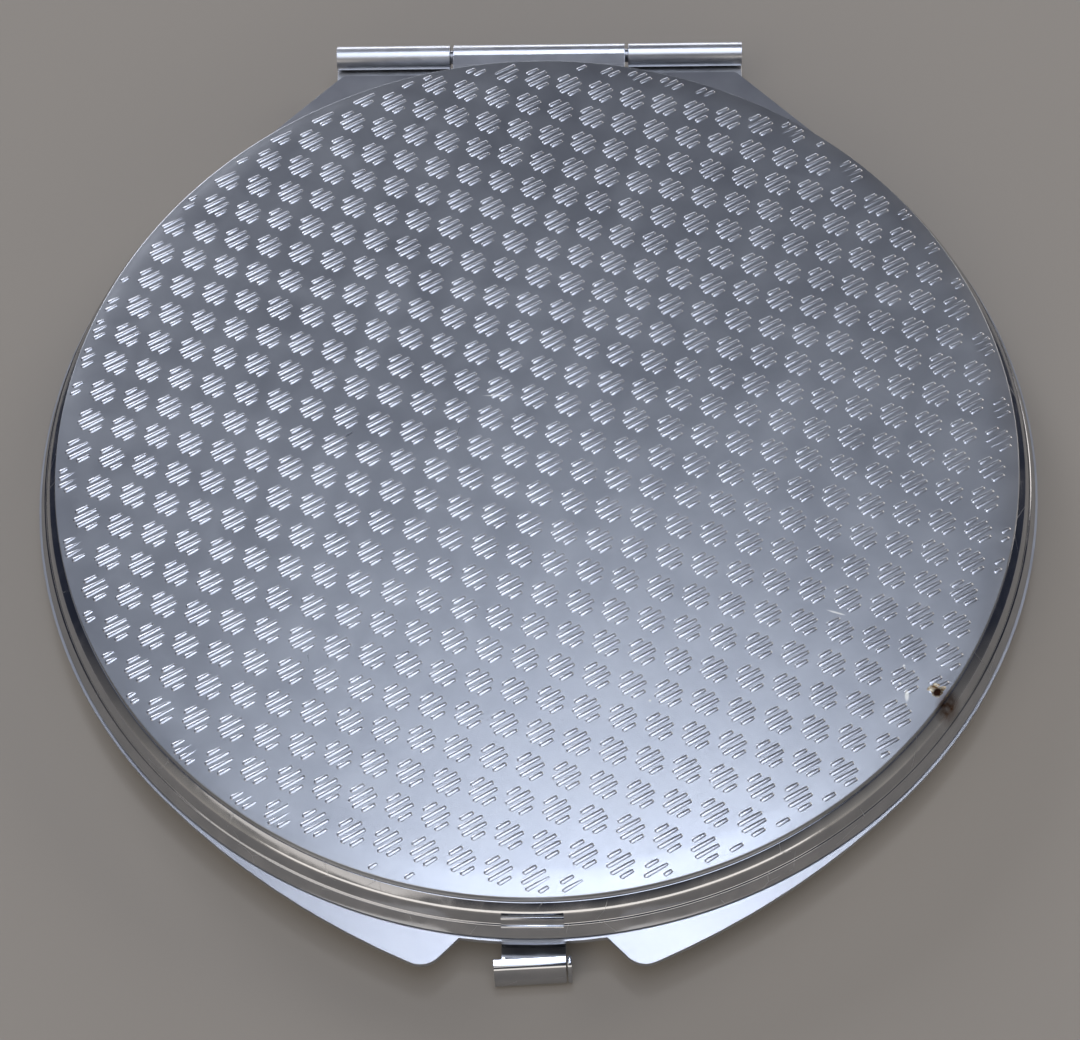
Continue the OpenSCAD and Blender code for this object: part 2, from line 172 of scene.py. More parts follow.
# Where small marks lie: each is (x, y, half length, half width, turn), full in its middle
# and gone at its edge
def spotMask(tree, where, spots, fade, depth=100):
    shown = None
    for x, y, half, width, turn in spots:
        settings = {"vector_type": "TEXTURE", "Location": (x, y, 0), "Rotation": (0, 0, math.radians(turn)),
                    "Scale": (half, width, depth)}
        inSpot = addNode(tree, "ShaderNodeMapping", settings, {"Vector": where})
        far = addNode(tree, "ShaderNodeVectorMath", {"operation": "LENGTH"}, {0: inSpot})
        spot = addNode(tree, "ShaderNodeMapRange",
                       {"From Min": 1 - fade, "From Max": 1, "To Min": 1, "To Max": 0},
                       {"Value": far.outputs["Value"]})
        if shown:
            spot = addNode(tree, "ShaderNodeMath", {"operation": "MAXIMUM"}, {0: shown, 1: spot})
        shown = spot
    return shown


# Lid marks: real scratches and rub marks whose near-white colour is a painted highlight (glints), and a real
# brown stain
lidWearAndGlints = {
    "glintFlecks": ((20.09, -13.39, 0.75, 0.08, -18), (24.41, -19.47, 0.5, 0.17, -94),
               (24.01, -18.61, 0.12, 0.1, 0), (24.35, -17.31, 0.12, 0.09, 30),
               (7.64, -19.73, 0.12, 0.1, 0), (3.84, 11.55, 0.12, 0.1, 0),
               (-2.82, 3.70, 1.0, 0.05, -1), (22.33, -10.11, 0.1, 0.09, 0),
               (29.80, -10.17, 0.1, 0.09, 0)),
    "fleckFade": 0.5,
    # near-white colour of the marks: painted highlight
    "fleckHighlightColour": "#f2f1ea",
    "fleckRough": 0.5,
    "stain": ((27.15, -19.85, 1.3, 0.85, 54),),
    "stainFade": 0.6,
    "stainColour": "#5c4029",
    "stainShare": (0.4, 1.0),
    "blotch": {"Scale": 1 / 0.35, "Detail": 3},
}


# Marks that are seen in one place: small scratches and rub marks, painted near-white as a painted highlight
# # that stands in for their glints, and a thin brown stain by the chip
def addWearAndGlints(tree, where, colour, roughness, wearAndGlints):
    glintFleck = spotMask(tree, where, wearAndGlints["glintFlecks"], wearAndGlints["fleckFade"])
    stain = spotMask(tree, where, wearAndGlints["stain"], wearAndGlints["stainFade"])
    blotch = addNode(tree, "ShaderNodeTexNoise", wearAndGlints["blotch"], {"Vector": where})
    low, high = wearAndGlints["stainShare"]
    share = addNode(tree, "ShaderNodeMapRange", {**noiseReach, "To Min": low, "To Max": high},
                    {"Value": blotch})
    stain = addNode(tree, "ShaderNodeMath", {"operation": "MULTIPLY"}, {0: stain, 1: share})
    stained = addNode(tree, "ShaderNodeMix", {"data_type": "RGBA", 7: fromHex(wearAndGlints["stainColour"])},
                      {0: stain, 6: colour})
    # the marks painted near-white: painted highlight
    glintPainted = addNode(tree, "ShaderNodeMix", {"data_type": "RGBA", 7: fromHex(wearAndGlints["fleckHighlightColour"])},
                      {0: glintFleck, 6: stained.outputs[2]})
    rubbed = addNode(tree, "ShaderNodeMix", {"data_type": "FLOAT", 3: wearAndGlints["fleckRough"]},
                     {0: glintFleck, 2: roughness})
    return glintPainted.outputs[2], rubbed


satinForm = {
    "cloud": {"Scale": 1 / 9.0, "Detail": 3},
    "cloudRough": (-0.01, 0.015),  # what the soft patches, and then the handling marks, add to the roughness
    "grease": {"Scale": 1 / 3.5, "Detail": 4, "Distortion": 0.6},
    "greaseRough": (-0.008, 0.02),
    "greaseStops": (0.3, 0.7),
    "grainDetail": 3,
    "scratches": ((4.5, 0.035, 25, 1.0), (6.0, 0.04, -50, 1.0), (3.0, 0.03, 80, 0.9)),
    "scratchRough": 0.16,
    "scratchDeep": 0.004,
}


# Nickel-plated steel sheet, bead-blasted to a soft even satin: grey, with a wide soft sheen,
# a very fine grain, faint handling marks and short bright hairline scratches
def satinSteel(name, colours, rough, grain, scratchShare, wearAndGlints=None, form=satinForm):
    material, tree, shader, where = startMaterial(name)
    grainSize, grainHigh = grain
    cloud = addNode(tree, "ShaderNodeTexNoise", form["cloud"], {"Vector": where})
    grease = addNode(tree, "ShaderNodeTexNoise", form["grease"], {"Vector": where})
    fine = addNode(tree, "ShaderNodeTexNoise", {"Scale": 1 / grainSize, "Detail": form["grainDetail"]},
                   {"Vector": where})
    marks = None
    for spacing, width, turn, share in form["scratches"]:
        line = hairlines(tree, where, hairlineForm, spacing, width, turn, scratchShare * share)
        if marks:
            line = addNode(tree, "ShaderNodeMath", {"operation": "MAXIMUM"}, {0: marks, 1: line})
        marks = line
    low, high = form["cloudRough"]
    clouded = addNode(tree, "ShaderNodeMapRange",
                      {**noiseReach, "To Min": rough + low, "To Max": rough + high}, {"Value": cloud})
    low, high = form["greaseRough"]
    greased = addNode(tree, "ShaderNodeMapRange", {**noiseReach, "To Min": low, "To Max": high},
                      {"Value": grease})
    roughness = addNode(tree, "ShaderNodeMath", {"operation": "ADD"}, {0: clouded, 1: greased})
    worn = addNode(tree, "ShaderNodeMix", {"data_type": "FLOAT", 3: form["scratchRough"]},
                   {0: marks, 2: roughness})
    colour = addNode(tree, "ShaderNodeValToRGB", {"stops": zip(form["greaseStops"], colours)},
                     {"Fac": grease})
    bumps = addNode(tree, "ShaderNodeBump", {"Strength": 1.0, "Distance": grainHigh * mm}, {"Height": fine})
    cuts = addNode(tree, "ShaderNodeBump",
                   {"Strength": 1.0, "Distance": form["scratchDeep"] * mm, "invert": True},
                   {"Height": marks, "Normal": bumps})
    # on the lid, the marks add near-white painted highlights and a real brown stain
    shown = addWearAndGlints(tree, where, colour, worn, wearAndGlints) if wearAndGlints else (colour, worn)
    shader.inputs["Metallic"].default_value = 1.0
    join(tree, shader, {"Base Color": shown[0], "Roughness": shown[1], "Normal": cuts})
    return material


chromeForm = {
    "film": {"Scale": 1 / 2.2, "Detail": 4, "Distortion": 0.8},
    "filmStops": (0.35, 0.65),
    "filmReach": (0.4, 0.75),
    "ripple": {"Scale": 1 / 3.0, "Detail": 1},
    "rippleDeep": 0.006,
    "scratches": (3.2, 0.03, 15, 0.5),
    "scratchRough": 0.3,
}


# Polished chrome plate on pressed steel: mirror-bright and slightly cool, with wipe marks,
# a little dulling and sparse hairlines
def polishedChrome(name, colours, rough, dull, wearAndGlints=None, form=chromeForm):
    material, tree, shader, where = startMaterial(name)
    film = addNode(tree, "ShaderNodeTexNoise", form["film"], {"Vector": where})
    ripple = addNode(tree, "ShaderNodeTexNoise", form["ripple"], {"Vector": where})
    lines = hairlines(tree, where, hairlineForm, *form["scratches"])
    colour = addNode(tree, "ShaderNodeValToRGB", {"stops": zip(form["filmStops"], colours)}, {"Fac": film})
    low, high = form["filmReach"]
    dulled = addNode(tree, "ShaderNodeMapRange",
                     {"From Min": low, "From Max": high, "To Min": rough, "To Max": rough + dull},
                     {"Value": film})
    worn = addNode(tree, "ShaderNodeMix", {"data_type": "FLOAT", 3: form["scratchRough"]},
                   {0: lines, 2: dulled})
    wave = addNode(tree, "ShaderNodeBump", {"Strength": 1.0, "Distance": form["rippleDeep"] * mm},
                   {"Height": ripple})
    shown = addWearAndGlints(tree, where, colour, worn, wearAndGlints) if wearAndGlints else (colour, worn)
    shader.inputs["Metallic"].default_value = 1.0
    join(tree, shader, {"Base Color": shown[0], "Roughness": shown[1], "Normal": wave})
    return material


glassLook = {
    "colour": "#eef2f2",
    "coat": 0.5,
    "coatRough": 0.01,
    "smear": {"Scale": 1 / 6.0, "Detail": 4, "Distortion": 1.2},
    "smearReach": (0.5, 0.8),
    "smearRough": 0.05,
}


# Silvered float glass: nearly perfect reflection under a hard clear coat, with faint finger smears
def silveredGlass(name, look):
    material, tree, shader, where = startMaterial(name)
    smear = addNode(tree, "ShaderNodeTexNoise", look["smear"], {"Vector": where})
    low, high = look["smearReach"]
    dulled = addNode(tree, "ShaderNodeMapRange",
                     {"From Min": low, "From Max": high, "To Min": 0, "To Max": look["smearRough"]},
                     {"Value": smear})
    shader.inputs["Metallic"].default_value = 1.0
    shader.inputs["Base Color"].default_value = fromHex(look["colour"])
    shader.inputs["Coat Weight"].default_value = look["coat"]
    shader.inputs["Coat Roughness"].default_value = look["coatRough"]
    join(tree, shader, {"Roughness": dulled})
    return material


foamLook = {
    "colours": ("#d9d6c9", "#eeece2"),
    "rough": 0.85,
    "cells": {"Scale": 1 / 0.35},
    "pitDeep": 0.05,
    "pitShare": 0.6,
}


# White closed-cell foam tape: matt, faintly pitted
def foamTape(name, look):
    material, tree, shader, where = startMaterial(name)
    cells = addNode(tree, "ShaderNodeTexVoronoi", look["cells"], {"Vector": where})
    colour = addNode(tree, "ShaderNodeValToRGB", {"stops": zip((0, 1), look["colours"])},
                     {"Fac": cells.outputs["Distance"]})
    pits = addNode(tree, "ShaderNodeBump", {"Strength": look["pitShare"], "Distance": look["pitDeep"] * mm},
                   {"Height": cells.outputs["Distance"]})
    shader.inputs["Roughness"].default_value = look["rough"]
    join(tree, shader, {"Base Color": colour, "Normal": pits})
    return material


springLook = {
    "colours": ("#8f9196", "#aeb0b4"),
    "rough": (0.26, 0.4),
    "lines": {"Scale": 1 / 0.12, "Detail": 3},
    "stretch": 0.08,
    "lineDeep": 0.004,
    "cloud": {"Scale": 1 / 2.0, "Detail": 3},
}


# Cold-rolled spring steel, unplated: grey with fine rolling lines along X
def rolledSteel(name, look):
    material, tree, shader, where = startMaterial(name)
    along = addNode(tree, "ShaderNodeMapping", {"Scale": (look["stretch"], 1, 1)}, {"Vector": where})
    lines = addNode(tree, "ShaderNodeTexNoise", look["lines"], {"Vector": along})
    cloud = addNode(tree, "ShaderNodeTexNoise", look["cloud"], {"Vector": where})
    colour = addNode(tree, "ShaderNodeValToRGB", {"stops": zip((0, 1), look["colours"])}, {"Fac": cloud})
    grooves = addNode(tree, "ShaderNodeBump", {"Strength": 1.0, "Distance": look["lineDeep"] * mm},
                      {"Height": lines})
    low, high = look["rough"]
    roughness = addNode(tree, "ShaderNodeMapRange", {**noiseReach, "To Min": low, "To Max": high},
                        {"Value": lines})
    shader.inputs["Metallic"].default_value = 1.0
    join(tree, shader, {"Base Color": colour, "Roughness": roughness, "Normal": grooves})
    return material


brassLook = {
    "colours": ("#7a5c38", "#efe6cd"),
    "stainStops": (0.35, 0.65),
    "stain": {"Scale": 1 / 0.25, "Detail": 4},
    "rust": "#2b1a12",
    "core": ((26.4, -19.25, 0.5, 0.36, 40),),
    "coreFade": 0.5,
    "rough": 0.45,
    "pitDeep": 0.03,
}


# Bare brass where the plating is chipped away: dull yellow and rough, rusted dark in the middle
def bareBrass(name, look):
    material, tree, shader, where = startMaterial(name)
    stain = addNode(tree, "ShaderNodeTexNoise", look["stain"], {"Vector": where})
    colour = addNode(tree, "ShaderNodeValToRGB", {"stops": zip(look["stainStops"], look["colours"])},
                     {"Fac": stain})
    dark = spotMask(tree, where, look["core"], look["coreFade"])
    rusted = addNode(tree, "ShaderNodeMix", {"data_type": "RGBA", 7: fromHex(look["rust"])},
                     {0: dark, 6: colour})
    pits = addNode(tree, "ShaderNodeBump", {"Strength": 1.0, "Distance": look["pitDeep"] * mm},
                   {"Height": stain})
    shader.inputs["Metallic"].default_value = 1.0
    shader.inputs["Roughness"].default_value = look["rough"]
    join(tree, shader, {"Base Color": rusted.outputs[2], "Normal": pits})
    return material


# Satins take two greys, a roughness, a grain (size, height) and a share of scratches,
# chromes two greys, a roughness and how much duller the wipe marks are
finish = {
    "lidSatin": satinSteel("satin nickel, lid", ("#abaeb3", "#b5b8bc"), 0.3, (0.09, 0.002), 0.3, lidWearAndGlints),
    "baseSatin": satinSteel("satin nickel, base", ("#abaeb2", "#b5b8bb"), 0.31, (0.09, 0.002), 0.45),
    "pressedBright": satinSteel("burnished nickel, pressed pattern", ("#bbbdc2", "#c4c6ca"), 0.295,
                                (0.12, 0.001), 0.3, lidWearAndGlints),
    "plateSatin": satinSteel("satin nickel, rim plate", ("#b5b7bc", "#bec0c4"), 0.31, (0.09, 0.003), 0.3),
    "chrome": polishedChrome("polished chrome", ("#b6b9be", "#c1c3c7"), 0.1, 0.12),
    "lidChrome": polishedChrome("polished chrome, lid", ("#b6b9be", "#c1c3c7"), 0.1, 0.12, lidWearAndGlints),
    "knuckle": polishedChrome("half-bright nickel, rolled", ("#cfd1d5", "#d8dade"), 0.32, 0.05),
    "mirror": silveredGlass("silvered glass", glassLook),
    "foam": foamTape("white foam tape", foamLook),
    "spring": rolledSteel("rolled spring steel", springLook),
    "brass": bareBrass("bare brass", brassLook),
}
print("materials made,", len(finish))


# Making pieces

meshing = {
    "merge": 0.0004,
    "cadMerge": 0.001,
    "flat": 1.5,  # CAD triangles that turn less than this belong to one face
    "sharp": 38,  # edges that turn more than this are drawn sharp
    "snap": 0.0001,  # corners this near to a cutting plane count as on it
    "turnSteps": 288,
}


# Turns a bmesh into a finished piece that rides on a body and stands for its CAD pieces
def makePiece(bm, name, body, look, stands=(), even=True):
    bmesh.ops.remove_doubles(bm, verts=bm.verts, dist=meshing["merge"] * mm)
    bmesh.ops.recalc_face_normals(bm, faces=bm.faces)
    for face in bm.faces:
        face.smooth = True
    sharpTurn = math.radians(meshing["sharp"])
    for edge in bm.edges:
        edge.smooth = not edge.is_manifold or edge.calc_face_angle(0) < sharpTurn
    mesh = bpy.data.meshes.new(name)
    bm.to_mesh(mesh)
    bm.free()
    mesh.materials.append(finish[look])
    piece = bpy.data.objects.new(name, mesh)
    bpy.context.scene.collection.objects.link(piece)
    if even:
        normals = piece.modifiers.new("evenNormals", "WEIGHTED_NORMAL")
        normals.keep_sharp = True
    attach(piece, body)
    if stands:
        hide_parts(*stands)
    return piece


# A flat face in the XZ plane through (x, z, rounding) corners, each rounded by its own radius
def roundedOutline(corners, arcSteps):
    bm = bmesh.new()
    verts = [bm.verts.new((x * mm, 0, z * mm)) for x, z, rounding in corners]
    bm.faces.new(verts)
    for vert, (x, z, rounding) in zip(verts, corners):
        if rounding:
            bmesh.ops.bevel(bm, geom=[vert], offset=rounding * mm, offset_type="OFFSET", segments=arcSteps,
                            profile=0.5, affect="VERTICES", material=-1)
    return bm


# Spins an outline of (radius, height, rounding) corners round the compact's middle
def turnOutline(corners, arcSteps=5):
    bm = roundedOutline(corners, arcSteps)
    bmesh.ops.delete(bm, geom=bm.faces[:], context="FACES_ONLY")
    bmesh.ops.spin(bm, geom=bm.verts[:] + bm.edges[:], axis=(0, 0, 1), cent=(0, 0, 0), angle=math.tau,
                   steps=meshing["turnSteps"], use_merge=True)
    return bm


# Turns a piece built from the table into one built down from the lid's top
def ontoLid(bm):
    bmesh.ops.scale(bm, vec=(1, 1, -1), verts=bm.verts)
    bmesh.ops.translate(bm, vec=(0, 0, closedTop * mm), verts=bm.verts)
    return bm


# Extrudes an outline of (depth, height, rounding) corners across X, from one x to another
def extrudeAcross(corners, fromX, toX, arcSteps=4):
    bm = roundedOutline(corners, arcSteps)
    bmesh.ops.rotate(bm, matrix=Matrix.Rotation(math.radians(90), 3, "Z"), verts=bm.verts)
    bmesh.ops.translate(bm, vec=(fromX * mm, 0, 0), verts=bm.verts)
    side = bmesh.ops.extrude_face_region(bm, geom=bm.faces[:])
    moved = [g for g in side["geom"] if isinstance(g, bmesh.types.BMVert)]
    bmesh.ops.translate(bm, vec=((toX - fromX) * mm, 0, 0), verts=moved)
    bmesh.ops.recalc_face_normals(bm, faces=bm.faces)
    return bm


# Rounds every edge that turns more than the given angle
def softenEdges(bm, radius, segments=2, over=40):
    bmesh.ops.recalc_face_normals(bm, faces=bm.faces)
    sharp = [e for e in bm.edges if e.is_manifold and e.calc_face_angle(0) > math.radians(over)]
    bmesh.ops.bevel(bm, geom=sharp, offset=radius * mm, offset_type="OFFSET", segments=segments, profile=0.5,
                    affect="EDGES", material=-1, clamp_overlap=True)
    return bm


# Openings in a turned ring, each a box with its lowest and highest corner
def cutOpenings(bm, boxes):
    rough = bpy.data.meshes.new("uncut")
    bm.to_mesh(rough)
    bm.free()
    ring = bpy.data.objects.new("uncut", rough)
    bpy.context.scene.collection.objects.link(ring)
    for low, high in boxes:
        box = bmesh.new()
        bmesh.ops.create_cube(box, size=mm)
        middle = [(a + b) / 2 * mm for a, b in zip(low, high)]
        bmesh.ops.scale(box, vec=[b - a for a, b in zip(low, high)], verts=box.verts)
        bmesh.ops.translate(box, vec=middle, verts=box.verts)
        mesh = bpy.data.meshes.new("opening")
        box.to_mesh(mesh)
        box.free()
        cutter = bpy.data.objects.new("opening", mesh)
        bpy.context.scene.collection.objects.link(cutter)
        cut = ring.modifiers.new("opening", "BOOLEAN")
        cut.operation = "DIFFERENCE"
        cut.solver = "EXACT"
        cut.object = cutter
    bpy.context.view_layer.update()
    shaped = bmesh.new()
    shaped.from_object(ring, bpy.context.evaluated_depsgraph_get())
    for cut in ring.modifiers:
        bpy.data.objects.remove(cut.object)
    bpy.data.objects.remove(ring)
    return shaped


# A CAD piece's own shape, its triangles merged into whole faces and its sharp edges rounded
def softCopy(node, radius, segments=3):
    bm = bmesh.new()
    bm.from_mesh(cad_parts[node].data)
    bmesh.ops.remove_doubles(bm, verts=bm.verts, dist=meshing["cadMerge"] * mm)
    bmesh.ops.dissolve_limit(bm, angle_limit=math.radians(meshing["flat"]), verts=bm.verts, edges=bm.edges)
    return softenEdges(bm, radius, segments)


# Raised pattern: four short rounded slugs to a motif, on a turned square grid

raised = {
    "pitch": 2.45,
    "rowTurn": -15.4,
    "start": (-0.74, 1.22),
    "slugTurn": 29.6,
    "slugPitch": 0.52,
    "halves": (0.34, 0.735, 0.735, 0.34),
    "width": 0.37,
    "foot": 0.035,
    "footLean": 30,
    "crownLean": 17,
    "crownFlat": 0.4,
    "rings": 2,
    "sides": 10,
    "sunk": 0.004,
    "edge": 33.0,
    "shortest": 0.3,
}


# Covers: a shallow satin cap with a soft roll-off before its rounded edge

coverCap = {
    "sheet": 0.35,
    "skirt": 0.75,
    "skirtRound": 0.06,
    "under": 0.14,  # room under the sheet for the pattern's rise
    "underRound": 0.15,
    "rollStart": 32.2,
    "rollRound": 0.9,
    "rollDrop": 0.045,
    "rim": 0.42,
    "rimRound": 0.3,
    "rimLean": 3,
    "edge": 0.3,
    "arcSteps": 8,
}


def capOutline(cap, ground):
    inner = coverRadius - cap["sheet"]
    under = cap["sheet"] + cap["under"]
    low = ground + cap["rollDrop"]
    return [
        (0, ground, 0),
        (cap["rollStart"], ground, cap["rollRound"]),
        (coverRadius - cap["rim"], low, cap["rimRound"]),
        (coverRadius, low + cap["rim"] * math.tan(math.radians(cap["rimLean"])), cap["edge"]),
        (coverRadius, cap["skirt"], cap["skirtRound"]),
        (inner, cap["skirt"], cap["skirtRound"]),
        (inner, under, cap["underRound"]),
        (0, under, 0),
    ]


# A slug's section as (inset, rise) steps: a short steep foot under a low round crown
def slugSteps(pattern):
    foot = pattern["foot"]
    crown = math.radians(pattern["crownLean"])
    bend = (pattern["width"] / 2 - foot) / math.sin(crown)
    rings = pattern["rings"]
    leans = [crown * (1 - k / (rings + pattern["crownFlat"])) for k in range(rings + 1)]
    steps = [(foot, foot * math.tan(math.radians(pattern["footLean"])))]
    for low, high in zip(leans, leans[1:]):
        steps.append((bend * (math.sin(low) - math.sin(high)), bend * (math.cos(high) - math.cos(low))))
    return steps


def slugHeight(pattern):
    return sum(rise for inset, rise in slugSteps(pattern))


# One slug of no length: a disc inset ring by ring into its section, and closed below
def slugBlank(pattern):
    bm = bmesh.new()
    bmesh.ops.create_circle(bm, cap_ends=True, radius=pattern["width"] / 2 * mm, segments=pattern["sides"])
    rim = bm.edges[:]
    top = bm.faces[:]
    for inset, rise in slugSteps(pattern):
        bmesh.ops.inset_individual(bm, faces=top, thickness=inset * mm, depth=rise * mm,
                                   use_even_offset=True)
    bmesh.ops.holes_fill(bm, edges=rim, sides=0)
    bmesh.ops.recalc_face_normals(bm, faces=bm.faces)
    blank = bpy.data.meshes.new("slugBlank")
    bm.to_mesh(blank)
    bm.free()
    return blank


# The stretch of a slug's straight part, behind and ahead of its middle, that lies inside the plain edge
def runInside(middle, along, half, edge):
    lean = middle.dot(along)
    inside = lean * lean - middle.length_squared + edge * edge
    if inside < 0:
        return 0, 0
    return max(-half, -lean - math.sqrt(inside)), min(half, -lean + math.sqrt(inside))


# Height lost by the roll-off at a radius, so that slugs at the edge stay seated
def rollLoss(cap, radius):
    run = coverRadius - cap["rim"] - cap["rollStart"]
    past = max(radius - cap["rollStart"] + cap["rollRound"], 0)
    return cap["rollDrop"] / run * past * past / (4 * cap["rollRound"])


def addPattern(pattern, cap):
    blank = slugBlank(pattern)
    placed = bpy.data.meshes.new("placedSlug")
    bm = bmesh.new()
    turn = math.radians(pattern["rowTurn"])
    row = Vector((math.cos(turn), math.sin(turn)))
    column = Vector((row.y, -row.x))
    slugTurn = math.radians(pattern["slugTurn"])
    along = Vector((math.cos(slugTurn), math.sin(slugTurn)))
    across = Vector((-along.y, along.x))
    count = int(coverRadius / pattern["pitch"]) + 2
    edge = pattern["edge"] - pattern["width"] / 2
    midSlug = (len(pattern["halves"]) - 1) / 2
    for i in range(-count, count + 1):
        for j in range(-count, count + 1):
            motif = Vector(pattern["start"]) + (row * i + column * j) * pattern["pitch"]
            for k, half in enumerate(pattern["halves"]):
                middle = motif + across * (midSlug - k) * pattern["slugPitch"]
                behind, ahead = runInside(middle, along, half, edge)
                if ahead - behind < pattern["shortest"]:
                    continue
                low = rollLoss(cap, max((middle + along * end).length for end in (behind, ahead)))
                height = closedTop - slugHeight(pattern) - low
                slug = bmesh.new()
                slug.from_mesh(blank)
                for vert in slug.verts:
                    vert.co.x += (ahead if vert.co.x > 0 else behind) * mm
                bmesh.ops.rotate(slug, matrix=Matrix.Rotation(slugTurn, 3, "Z"), verts=slug.verts)
                bmesh.ops.translate(slug, vec=(middle.x * mm, middle.y * mm, height * mm), verts=slug.verts)
                slug.to_mesh(placed)
                slug.free()
                bm.from_mesh(placed)
    bpy.data.meshes.remove(blank)
    bpy.data.meshes.remove(placed)
    return makePiece(bm, "lid_raised_pattern", "lid", "pressedBright", even=False)


ground = slugHeight(raised) - raised["sunk"]
lidCap = ontoLid(turnOutline(capOutline(coverCap, ground), coverCap["arcSteps"]))
makePiece(lidCap, "lid_cap", "lid", "lidSatin", ["lid_cover"])
baseCap = turnOutline(capOutline(coverCap, 0), coverCap["arcSteps"])
makePiece(baseCap, "base_cap", "base", "baseSatin", ["base_cover"])
print("covers made")
pattern = addPattern(raised, coverCap)
print("raised pattern made,", len(pattern.data.polygons), "faces")


# Pressed frames: ledge, neck, rounded shoulder, sloping wall, fine ridge and lip

pressedFrame = {
    "sheet": 0.4,
    "ledgeIn": 26.8,
    "neck": 32.9,
    "neckTop": 0.35,
    "shoulder": 0.85,
    "bead": 33.95,
    "slopeWidth": 0.62,
    "slopeFall": 0.42,
    "beadRound": 0.2,
    "wall": 34.31,
    "ridge": 0.12,
    "ridgeRound": 0.07,
    "lip": 1.05,
    "edge": 0.08,  # roundings, first at the lip's edge and under the shoulder, then at the smallest bends
    "tight": 0.05,
    "bend": 0.1,  # and at the neck's top and all inner bends
}


def frameOutline(form, height, lipRadius):
    ridge = height - form["lip"]
    sheet = form["sheet"]
    bump = form["ridge"]
    return [
        (form["ledgeIn"], form["neckTop"], form["tight"]),
        (form["neck"], form["neckTop"], form["bend"]),
        (form["neck"], form["shoulder"], form["edge"]),
        (form["bead"] - form["slopeWidth"], form["shoulder"], form["tight"]),
        (form["bead"], form["shoulder"] + form["slopeFall"], form["beadRound"]),
        # the fine ridge, its corners as shares of its own height
        (form["wall"] - bump * 0.3, ridge - bump * 1.1, form["tight"]),
        (form["wall"] + bump, ridge - bump * 0.55, form["ridgeRound"]),
        (form["wall"] + bump, ridge + bump * 0.55, form["ridgeRound"]),
        (form["wall"], ridge + bump * 1.2, form["tight"]),
        (lipRadius, height, form["edge"]),
        (lipRadius - sheet, height, form["edge"]),
        (form["wall"] - sheet, ridge, form["bend"]),
        (form["bead"] - sheet, form["shoulder"] + sheet, form["bend"]),
        (form["neck"] - sheet, form["shoulder"] + sheet, form["bend"]),
        (form["neck"] - sheet, form["neckTop"] + sheet, form["bend"]),
        (form["ledgeIn"], form["neckTop"] + sheet, form["tight"]),
    ]


openings = {
    "leafPlay": 0.2,
    "slideHalf": 2.3,
    "slideHeight": 0.6,
    "past": 1,  # how far a cut runs past the sheet
}


# Boxes that a hinge leaf or the slide passes a frame's wall in
def leafOpening(node, play, past):
    low, high = [[c / mm for c in corner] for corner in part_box(node)]
    if node == "lid_hinge_leaf":
        return (low[0] - play, low[1], lidLipLow - past), (high[0] + play, rimRadius + past, high[2] + play)
    return ((low[0] - play, low[1] - play, low[2] - play / 2),
            (high[0] + play, rimRadius + past, basePlateLow + past))


def slideOpening(form):
    half, past = form["slideHalf"], form["past"]
    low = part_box("latch_slide")[0].z / mm
    return ((-half, -rimRadius - past, low - form["leafPlay"]),
            (half, -coverRadius + past, low + form["slideHeight"]))


lidHeight = closedTop - lidLipLow
lidRing = ontoLid(turnOutline(frameOutline(pressedFrame, lidHeight, lidLipRadius)))
lidRing = cutOpenings(lidRing, [leafOpening("lid_hinge_leaf", openings["leafPlay"], openings["past"])])
makePiece(lidRing, "lid_ring", "lid", "lidChrome", ["lid_frame"])
baseRing = turnOutline(frameOutline(pressedFrame, basePlateLow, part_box("base_frame")[1].x / mm))
baseRing = cutOpenings(baseRing, [leafOpening("base_hinge_leaf", openings["leafPlay"] / 2, openings["past"]),
                                  slideOpening(openings)])
makePiece(baseRing, "base_ring", "base", "chrome", ["base_frame"])
print("pressed frames made")


# Bezels: polished rings of L section over the mirrors' edges

bezelForm = {
    "sheet": 0.4,
    "reach": 1.0,
    "edge": 0.25,
    "lipRound": 0.12,
    "underRound": 0.08,
    "tight": 0.05,
}


def bezelOutline(form, low, high, outer):
    inner = outer - form["sheet"]
    lip = mirrorRadius - form["reach"]
    under = high - form["sheet"]
    tight = form["tight"]
    return [(inner, low, tight), (outer, low, tight), (outer, high, form["edge"]),
            (lip, high, form["lipRound"]), (lip, under, form["underRound"]), (inner, under, tight)]


def heights(node, downFrom=None):
    low, high = [corner.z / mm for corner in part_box(node)]
    return (low, high) if downFrom is None else (downFrom - high, downFrom - low)


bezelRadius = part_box("base_bezel")[1].x / mm
baseBezel = turnOutline(bezelOutline(bezelForm, *heights("base_bezel"), bezelRadius))
lidBezel = ontoLid(turnOutline(bezelOutline(bezelForm, *heights("lid_bezel", closedTop), bezelRadius)))
makePiece(baseBezel, "base_mirror_bezel", "base", "chrome", ["base_bezel"])
makePiece(lidBezel, "lid_mirror_bezel", "lid", "chrome", ["lid_bezel"])


# Mirrors: bevelled plate glass in the lid, slightly hollow glass in the base

glassForm = {
    "bevel": 0.3,
    "roundings": (0.04, 0.02, 0.03),  # at the back, and at the bevel's lower and upper edge
    "sag": 0.6,
    "arcSteps": 28,
    "turnSteps": 192,
}


def plainGlass(form, low, high):
    back, lower, upper = form["roundings"]
    return [(0, low, 0), (mirrorRadius, low, back), (mirrorRadius, high - form["bevel"], lower),
            (mirrorRadius - form["bevel"], high, upper), (0, high, 0)]


